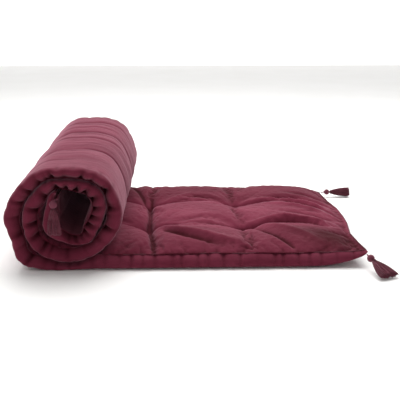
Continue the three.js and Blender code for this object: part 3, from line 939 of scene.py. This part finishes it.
class Tubes:
    """Gathers many tubes in one mesh."""

    def __init__(self):
        self.points, self.faces, self.count = [], [], 0

    def add(self, path, radius, sides=6, closed=False):
        """A tube along a path, in a loop if closed, with flat ends if not."""
        path = np.asarray(path, float)
        rings = len(path)
        radius = np.broadcast_to(radius, rings)
        if closed:
            tangent = np.roll(path, -1, 0) - np.roll(path, 1, 0)
        else:
            tangent = np.gradient(path, axis=0)
        tangent /= np.linalg.norm(tangent, axis=1, keepdims=True) + 1e-12
        side = np.cross(tangent[0], (0.31, 0.17, 0.93))
        frames = []
        for t in tangent:
            side = side - t * (side @ t)
            side = side / (np.linalg.norm(side) + 1e-12)
            frames.append((side, np.cross(t, side)))
        frames = np.array(frames)
        a = np.linspace(0, 2 * np.pi, sides, endpoint=False)
        turns = np.cos(a)[None, :, None], np.sin(a)[None, :, None]
        ring = frames[:, None, 0] * turns[0] + frames[:, None, 1] * turns[1]
        points = path[:, None] + ring * radius[:, None, None]
        index = self.count + np.arange(rings * sides).reshape(rings, sides)
        turn = np.roll(index, -1, 1)
        if closed:
            nxt, nxt_turn = np.roll(index, -1, 0), np.roll(turn, -1, 0)
            quads = np.stack([index, turn, nxt_turn, nxt], -1)
        else:
            quads = np.stack([index[:-1], turn[:-1], turn[1:], index[1:]], -1)
        self.faces += quads.reshape(-1, 4).tolist()
        if not closed:
            self.faces += [index[0, ::-1].tolist(), index[-1].tolist()]
        self.points.append(points.reshape(-1, 3))
        self.count += rings * sides

    def piece(self, name, material):
        mesh = bpy.data.meshes.new(name)
        mesh.from_pydata(np.concatenate(self.points).tolist(), [], self.faces)
        return finish_piece(name, mesh, material)


def side_reach(u):
    """How far the long seams lie from the middle."""
    return WIDTH / 2 - BAND_TUCK - FOLD_TUCK * band_folds(u)


def make_seam(material):
    """The sewn edge: a thread all round, sunk between the two covers."""
    u = np.arange(0, LENGTH, 0.003)
    y = np.linspace(-1, 1, 161)[1:-1]
    runs = []
    for side, order in ((-1, slice(None)), (1, slice(None, None, -1))):
        reach = side * (side_reach(u) + 0.0004)
        run = line.place(u + end_tuck(u), reach, join_height(u, np.full(len(u), side * WIDTH / 2)))[order]
        runs.append(run)
    ends = []
    for at, order in ((LENGTH, slice(None)), (0.0, slice(None, None, -1))):
        uu = np.full(len(y), at)
        width = side_reach(np.array([at]))[0]
        run = line.place(uu + end_tuck(uu), y * width, join_height(uu, y * WIDTH / 2))[order]
        ends.append(run)
    loop = np.concatenate([runs[0], ends[0], runs[1], ends[1]])
    tubes = Tubes()
    tubes.add(loop, SEAM_THREAD, 6, closed=True)
    return tubes.piece("edge_seam", material)


def field_at(field, u, y):
    """The value at one point of a field on the covers' grid."""
    rows, columns = field.shape
    i = u / LENGTH * (rows - 1)
    j = (y / WIDTH + 0.5) * (columns - 1)
    i0, j0 = min(int(i), rows - 2), min(int(j), columns - 2)
    ti, tj = i - i0, j - j0
    return ((field[i0, j0] * (1 - tj) + field[i0, j0 + 1] * tj) * (1 - ti)
            + (field[i0 + 1, j0] * (1 - tj) + field[i0 + 1, j0 + 1] * tj) * ti)


def make_tie(name, u, y, low, high, material):
    """Three strands sewn through, with a crossed stitch sunk in the dimple of each face."""
    tubes = Tubes()

    def at(du, dy, n):
        return line.place(np.array([u + du]), np.array([y + dy]), np.array([n]))[0]

    for k in range(STRAND_COUNT):
        a = 2 * math.pi * k / STRAND_COUNT
        du, dy = STRAND_RADIUS * math.cos(a), STRAND_RADIUS * math.sin(a)
        tubes.add([at(du, dy, low + (high - low) * t) for t in np.linspace(0, 1, 6)], STRAND_RADIUS, 6)
    for level, out in ((high, 1), (low, -1)):
        for turn in (math.radians(40), math.radians(130)):
            path = []
            for t in np.linspace(-STITCH_REACH, STITCH_REACH, 9):
                rise = out * (0.0018 * (1 - (t / STITCH_REACH) ** 2) - 0.0008)
                path.append(at(t * math.cos(turn), t * math.sin(turn), level + rise))
            tubes.add(path, STITCH_RADIUS, 6)
    return tubes.piece(name, material)


# ---------------------------------------------------------------- tassels

HEAD_RADIUS = 0.0085
HEAD_TIP_ANGLE = 50
HEAD_MIDDLE = HEAD_RADIUS / math.sin(math.radians(HEAD_TIP_ANGLE))
NECK_AT = HEAD_MIDDLE + HEAD_RADIUS + 0.0003
BINDING_AT = NECK_AT + 0.001
BINDING_LENGTH = 0.006
FLARE_AT = BINDING_AT + BINDING_LENGTH + 0.001
SKIRT_LENGTH = 0.050
NECK_RADIUS = 0.0040
STRANDS = 96
GOLDEN_ANGLE = 2.39996
PLY_RADIUS, PLY_OFFSET = 0.0009, 0.0008
BINDING_TURNS, BINDING_THREAD = 5.5, 0.00065


class Tassel:
    """A tassel in the frame of its CAD group: along its length, across its fan, and up."""

    def __init__(self, name, along, fan):
        joints = {j["name"]: j for j in frame["joints"]}
        self.name = name
        self.tie = np.array(joints[name + "_swing"]["pos_m"])
        self.start = np.array(joints[name + "_lift"]["pos_m"])
        self.along = np.array(along, float) / np.linalg.norm(along)
        level = np.array([self.along[1], -self.along[0], 0])
        size = np.linalg.norm(level)
        self.across = level / size if size > 1e-6 else np.array([1.0, 0, 0])
        self.up = np.cross(self.across, self.along)
        self.fan = fan

    def at(self, a, x, y):
        return self.start + self.along * a + self.across * x + self.up * y

    def make_cord(self, material):
        """Two plies twisted together, from the corner to the head."""
        tubes = Tubes()
        t = np.linspace(0, 1, 22)
        run = self.tie + np.outer(t, self.start + self.along * 0.0035 - self.tie)
        axis = (self.start - self.tie) / np.linalg.norm(self.start - self.tie)
        one = np.cross(axis, (0.2, 0.3, 0.9))
        one /= np.linalg.norm(one)
        two = np.cross(axis, one)
        for phase in (0, math.pi):
            a = phase + t[:, None] * 9.0
            tubes.add(run + PLY_OFFSET * (np.cos(a) * one + np.sin(a) * two), PLY_RADIUS, 8)
        return tubes.piece(self.name + "_twist", material)

    def make_head(self, material):
        """A ball of yarn wound over a core, drawn to a point where the cord enters."""
        rows, columns = 40, 72
        lat = np.linspace(-math.pi / 2, math.pi / 2, rows)[:, None]
        lon = np.linspace(0, 2 * np.pi, columns, endpoint=False)[None, :]
        ridges = 1 + 0.045 * np.abs(np.sin(9 * lon + 1.6 * lat)) * np.cos(lat)
        r = HEAD_RADIUS * 0.92 * ridges
        along = HEAD_MIDDLE + r * np.sin(lat) - 0.0022 * np.exp(-((lat + math.pi / 2) / 0.35) ** 2)
        x, y = r * np.cos(lat) * np.cos(lon), r * np.cos(lat) * np.sin(lon)
        points = (self.start + along[..., None] * self.along + x[..., None] * self.across
                  + y[..., None] * self.up)
        index = np.arange(rows * columns).reshape(rows, columns)
        turn = np.roll(index, -1, 1)
        quads = np.stack([index[:-1], turn[:-1], turn[1:], index[1:]], -1).reshape(-1, 4)
        mesh = bpy.data.meshes.new(self.name + "_ball")
        mesh.from_pydata(points.reshape(-1, 3).tolist(), [], quads.tolist())
        return finish_piece(self.name + "_ball", mesh, material)

    def make_binding(self, material):
        tubes = Tubes()
        t = np.linspace(0, 1, 130)
        a = t * 2 * np.pi * BINDING_TURNS
        r = NECK_RADIUS + 0.0009
        path = (self.start + np.outer(BINDING_AT + 0.0007 + t * (BINDING_LENGTH - 0.0014), self.along)
                + np.outer(np.cos(a) * r, self.across) + np.outer(np.sin(a) * r, self.up))
        tubes.add(path, BINDING_THREAD, 6)
        return tubes.piece(self.name + "_winding", material)

    def make_skirt(self, material, seed):
        """Loose strands that leave the neck together and spread into a fan."""
        local = np.random.default_rng(seed)
        tubes = Tubes()
        t = np.linspace(0, 1, 13)
        half_wide, half_thick = self.fan
        for k in range(STRANDS):
            radius = math.sqrt((k + 0.5) / STRANDS)
            a = k * GOLDEN_ANGLE + local.uniform(-0.2, 0.2)
            cx, cy = radius * math.cos(a), radius * math.sin(a)
            length = SKIRT_LENGTH * local.uniform(0.93, 1.0)
            spread = local.uniform(0.82, 1.0)
            flare = t ** 0.85 * (1.55 - 0.55 * t)
            sway_x = local.uniform(-1, 1) * 0.0016 * np.sin(np.pi * t * local.uniform(0.8, 2.2))
            sway_y = local.uniform(-1, 1) * 0.0010 * np.sin(np.pi * t * local.uniform(0.8, 2.2))
            x = cx * (NECK_RADIUS - 0.0008) * (1 - flare) + cx * half_wide * spread * flare + sway_x
            y = cy * (NECK_RADIUS - 0.0008) * (1 - flare) + cy * half_thick * spread * flare + sway_y
            along = NECK_AT + (FLARE_AT - NECK_AT + length) * t
            path = (self.start + np.outer(along, self.along) + np.outer(x, self.across)
                    + np.outer(y, self.up))
            path[:, 2] = np.maximum(path[:, 2], 0.0012 + 0.0012 * local.uniform(0, 1))
            tubes.add(path, np.interp(t, (0, 0.1, 0.9, 1), (0.0006, 0.00105, 0.00115, 0.0006)), 5)
        return tubes.piece(self.name + "_strands", material)

    def make(self, materials, seed):
        cord = self.make_cord(materials["yarn"])
        head = self.make_head(materials["yarn"])
        binding = self.make_binding(materials["binding"])
        skirt = self.make_skirt(materials["skirt"], seed)
        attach(cord, self.name + "_hanger")
        for piece in (head, binding, skirt):
            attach(piece, self.name)
        for piece, part in ((cord, "cord"), (head, "head"), (binding, "binding"), (skirt, "skirt")):
            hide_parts(f"{self.name}_{part}")


# ---------------------------------------------------------------- build

make_camera()
make_stage()

# Two copies of the same velvet, a lit and a shaded one: the lower cover's has a darker base and more sheen
# than the upper cover's, painted light and shade that sets the roll's outside apart from the tail's top
velvet = velvet_material("plum_velvet", 0.84, 0.23)
velvet_under = velvet_material("plum_velvet_under", 0.74, 0.36)
yarn = yarn_material("plum_yarn", ((0.13, 0.025, 0.045), (0.20, 0.05, 0.08)))
dark_yarn = yarn_material("plum_skirt_yarn", ((0.085, 0.014, 0.026), (0.15, 0.032, 0.052)))
thread = yarn_material("plum_thread", ((0.07, 0.012, 0.022), (0.11, 0.022, 0.036)), 1400.0)
cotton = cotton_material("cotton_batting", ((0.72, 0.68, 0.60), (0.85, 0.82, 0.75)))
felt = cotton_material("cotton_felt", ((0.66, 0.60, 0.46), (0.78, 0.72, 0.58)))

upper, upper_n = make_upper_cover(velvet)
lower, lower_n = make_lower_cover(velvet_under)
seam = make_seam(thread)
batting_materials = {"lower_batting": cotton, "core_batting": felt, "upper_batting": cotton}
layers = make_filling(batting_materials, upper_n, lower_n)

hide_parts("top_panel", "top_panel_flap")
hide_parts("bottom_panel", "bottom_panel_flap")
for layer, (part, _, _) in zip(layers, LAYERS):
    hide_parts(part, part + "_flap")
for soft in (upper, lower, seam, *layers):
    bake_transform(soft)

for column, u in enumerate(TUFTS):
    for row, y in zip("ab", TUFT_ROWS):
        name = f"tuft_tie_{column + 1}{row}"
        tie = make_tie(name.replace("tie", "stitch"), u, y, field_at(lower_n, u, y),
                       field_at(upper_n, u, y), thread)
        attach(tie, "roll")
        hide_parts(name)

# Each tassel: its way from the corner, and half the width and half the thickness of its skirt's end
TASSELS = (
    ("tassel_tail_near", (0.40, -0.87, -0.29), (0.0255, 0.0052)),
    ("tassel_tail_far", (1, 0, 0), (0.0135, 0.0135)),
    ("tassel_core_near", (0, 0, -1), (0.0170, 0.0055)),
    ("tassel_core_far", (0, 0, -1), (0.0170, 0.0055)),
)
tassel_materials = {"yarn": yarn, "skirt": dark_yarn, "binding": thread}
for seed, (name, along, fan) in enumerate(TASSELS):
    Tassel(name, along, fan).make(tassel_materials, 70 + seed)
